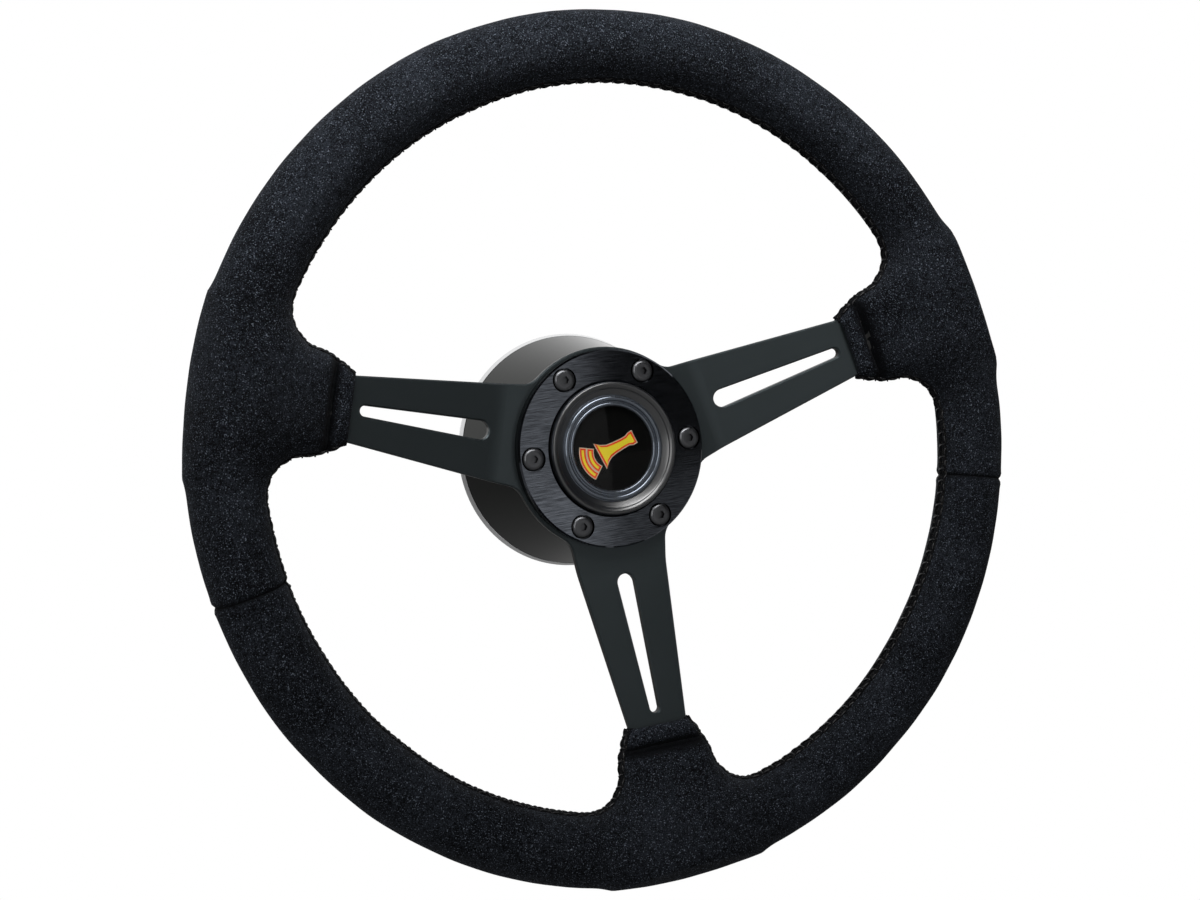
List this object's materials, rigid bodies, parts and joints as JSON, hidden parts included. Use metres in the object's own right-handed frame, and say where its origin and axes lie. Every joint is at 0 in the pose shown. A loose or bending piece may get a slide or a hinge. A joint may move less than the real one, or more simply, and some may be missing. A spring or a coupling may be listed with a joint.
{
  "type": "quick release steering wheel",
  "caption": "Dished three-spoke steering wheel with a suede grip and a horn button, on a ball-lock quick release hub with a flared pull sleeve.",
  "frame": {"origin": "centre of the column bore's mouth, on the column hub's back face", "axes": "+Y back along the steering column, away from the driver; +Z twelve o'clock; +X to the driver's right"},
  "size_m": [0.35, 0.0979, 0.35],
  "materials": {
    "suede": "suede, close cropped nap",
    "foam": "moulded polyurethane foam",
    "steel_tube": "drawn steel tube",
    "satin_black_anodised": "satin black anodised aluminium",
    "brushed_black_anodised": "brushed, then black anodised aluminium",
    "black_oxide": "black oxide alloy steel",
    "gloss_black_anodised": "polished, black anodised aluminium",
    "grey_anodised": "turned, grey anodised aluminium",
    "hardened_steel": "ground and hardened steel",
    "hub_steel": "machined steel, zinc and black passivate",
    "spring_steel": "spring steel wire",
    "brass": "turned brass",
    "black_abs": "moulded black ABS, satin",
    "black_nylon": "moulded nylon",
    "board_laminate": "glass epoxy laminate",
    "black_gloss_bezel": "moulded, gloss black",
    "emblem_print": "printed disc, gloss black ground",
    "clear_resin": "clear domed resin",
    "black_nbr": "moulded nitrile rubber"
  },
  "bodies": {
    "column_side": {"column_hub": "hub_steel", "nose_o_ring": "black_nbr", "pin_carrier": "black_nylon", "pin_carrier_cap": "black_nylon", "pin_springs": "spring_steel"},
    "wheel": {"rim_core": "steel_tube", "rim_foam": "foam", "wrap_upper": "suede", "wrap_lower": "suede", "hem_left": "suede", "hem_right": "suede", "hem_bottom": "suede", "spoke_frame": "satin_black_anodised", "hub_trim_ring": "brushed_black_anodised", "ring_bolts": "black_oxide", "wheel_socket": "satin_black_anodised", "sleeve_snap_ring": "spring_steel", "release_spring": "spring_steel", "contact_board": "board_laminate", "contact_pad": "brass", "contact_ring": "brass", "horn_housing": "black_nylon", "horn_contact_stud": "brass", "horn_spring": "spring_steel"},
    "release_sleeve": {"release_bell": "gloss_black_anodised", "bell_edge_ring": "grey_anodised", "cam_ring": "hardened_steel"},
    "horn_button": {"button_cap": "black_abs", "button_bezel": "black_gloss_bezel", "emblem_plate": "emblem_print", "emblem_lens": "clear_resin", "moving_contact": "brass"},
    "ball_1": {"lock_ball_1": "hardened_steel"},
    "ball_2": {"lock_ball_2": "hardened_steel"},
    "ball_3": {"lock_ball_3": "hardened_steel"},
    "ball_4": {"lock_ball_4": "hardened_steel"},
    "ball_5": {"lock_ball_5": "hardened_steel"},
    "ball_6": {"lock_ball_6": "hardened_steel"},
    "pin_1": {"contact_pin_1": "brass"},
    "pin_2": {"contact_pin_2": "brass"}
  },
  "joints": [
    {"name": "wheel_pull", "type": "slide", "parent": "column_side", "child": "wheel", "axis": [0, -1, 0], "range_m": [0, 0.06]},
    {"name": "sleeve_return", "type": "slide", "parent": "wheel", "child": "release_sleeve", "axis": [0, 1, 0], "range_m": [0, 0.007], "stiffness_N_per_m": 3000, "springref_m": 0.017, "deforming": ["release_spring"]},
    {"name": "horn_press", "type": "slide", "parent": "wheel", "child": "horn_button", "axis": [0, 1, 0], "range_m": [0, 0.0025], "stiffness_N_per_m": 2500, "springref_m": -0.002, "deforming": ["horn_spring"]},
    {"name": "contact_pin_1_press", "type": "slide", "parent": "column_side", "child": "pin_1", "axis": [0, 1, 0], "range_m": [0, 0.0015], "stiffness_N_per_m": 400, "springref_m": -0.002, "deforming": ["pin_springs"]},
    {"name": "contact_pin_2_press", "type": "slide", "parent": "column_side", "child": "pin_2", "axis": [0, 1, 0], "range_m": [0, 0.0015]},
    {"name": "ball_1_throw", "type": "slide", "parent": "wheel", "child": "ball_1", "axis": [1, 0, 0], "range_m": [-0.00136, 0]},
    {"name": "ball_2_throw", "type": "slide", "parent": "wheel", "child": "ball_2", "axis": [0.5, 0, 0.866], "range_m": [-0.00136, 0]},
    {"name": "ball_3_throw", "type": "slide", "parent": "wheel", "child": "ball_3", "axis": [-0.5, 0, 0.866], "range_m": [-0.00136, 0]},
    {"name": "ball_4_throw", "type": "slide", "parent": "wheel", "child": "ball_4", "axis": [-1, 0, 0], "range_m": [-0.00136, 0]},
    {"name": "ball_5_throw", "type": "slide", "parent": "wheel", "child": "ball_5", "axis": [-0.5, 0, -0.866], "range_m": [-0.00136, 0]},
    {"name": "ball_6_throw", "type": "slide", "parent": "wheel", "child": "ball_6", "axis": [0.5, 0, -0.866], "range_m": [-0.00136, 0]}
  ],
  "couplings": [
    {"joint": "contact_pin_2_press", "follows": "contact_pin_1_press", "ratio": 1},
    {"joint": "ball_1_throw", "follows": "sleeve_return", "ratio": -0.19286},
    {"joint": "ball_2_throw", "follows": "sleeve_return", "ratio": -0.19286},
    {"joint": "ball_3_throw", "follows": "sleeve_return", "ratio": -0.19286},
    {"joint": "ball_4_throw", "follows": "sleeve_return", "ratio": -0.19286},
    {"joint": "ball_5_throw", "follows": "sleeve_return", "ratio": -0.19286},
    {"joint": "ball_6_throw", "follows": "sleeve_return", "ratio": -0.19286}
  ]
}
